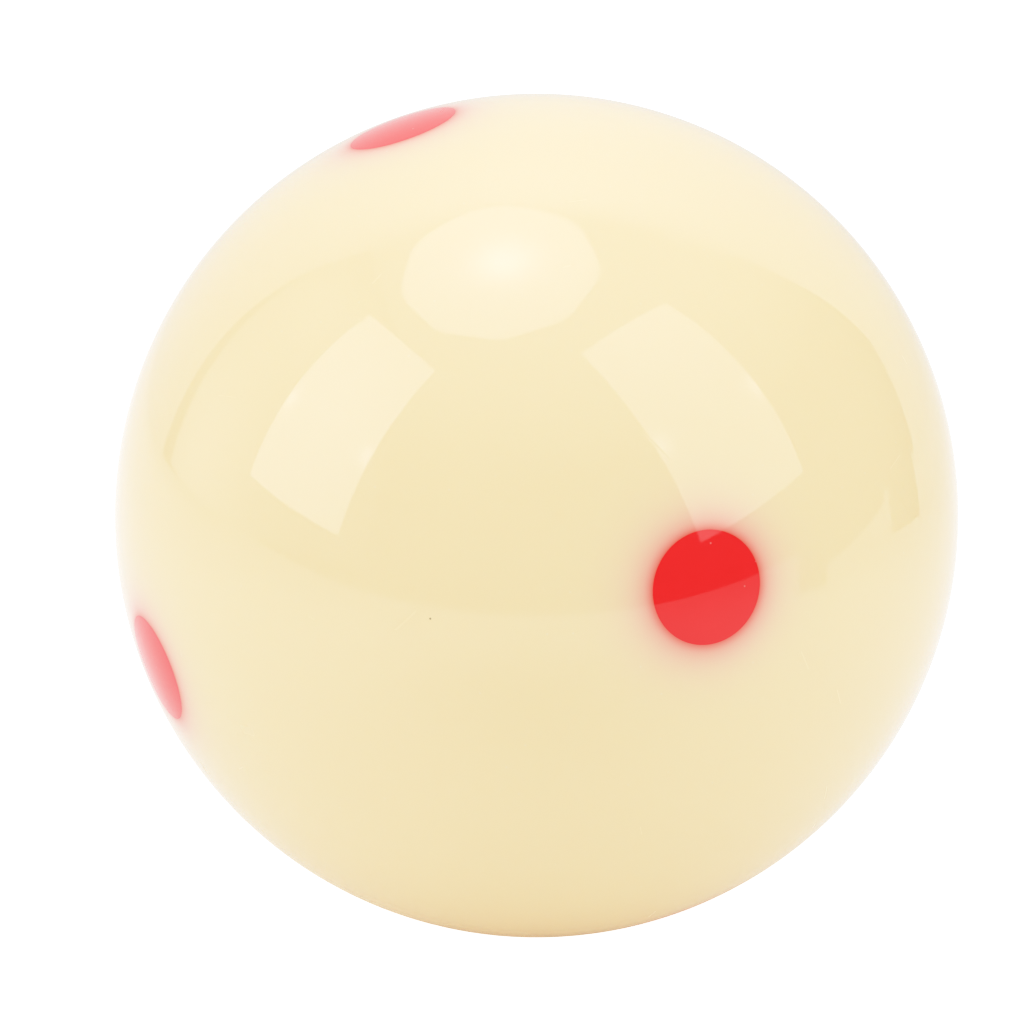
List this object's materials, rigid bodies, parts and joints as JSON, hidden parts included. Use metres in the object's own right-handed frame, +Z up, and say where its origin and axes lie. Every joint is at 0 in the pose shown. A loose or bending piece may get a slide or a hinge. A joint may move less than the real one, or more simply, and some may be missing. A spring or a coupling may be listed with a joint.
{
  "type": "cue ball",
  "caption": "Pale glossy pool cue ball with flush red spots on three crossed axes, for striking with a cue on a billiard table.",
  "frame": {"origin": "centre of the ball", "axes": "+Z is up and -Y is the front, the side that the picture is taken from. The ball lies as it came to rest: its own axes, which run through the right, back and bottom spots, are turned 23.2 degrees about the up axis and then leaned 17 degrees to the left (towards -X), so no spot axis is a row axis. The top and left spots are 1.4 and 1 degrees out of square, towards each other."},
  "size_m": [0.0572, 0.0572, 0.0572],
  "materials": {
    "ball_resin": "polished cast phenolic resin, ivory",
    "spot_resin": "polished cast phenolic resin, red"
  },
  "bodies": {
    "root": {"ball_body": "ball_resin", "spot_top": "spot_resin", "spot_bottom": "spot_resin", "spot_front": "spot_resin", "spot_back": "spot_resin", "spot_left": "spot_resin", "spot_right": "spot_resin"}
  },
  "joints": []
}
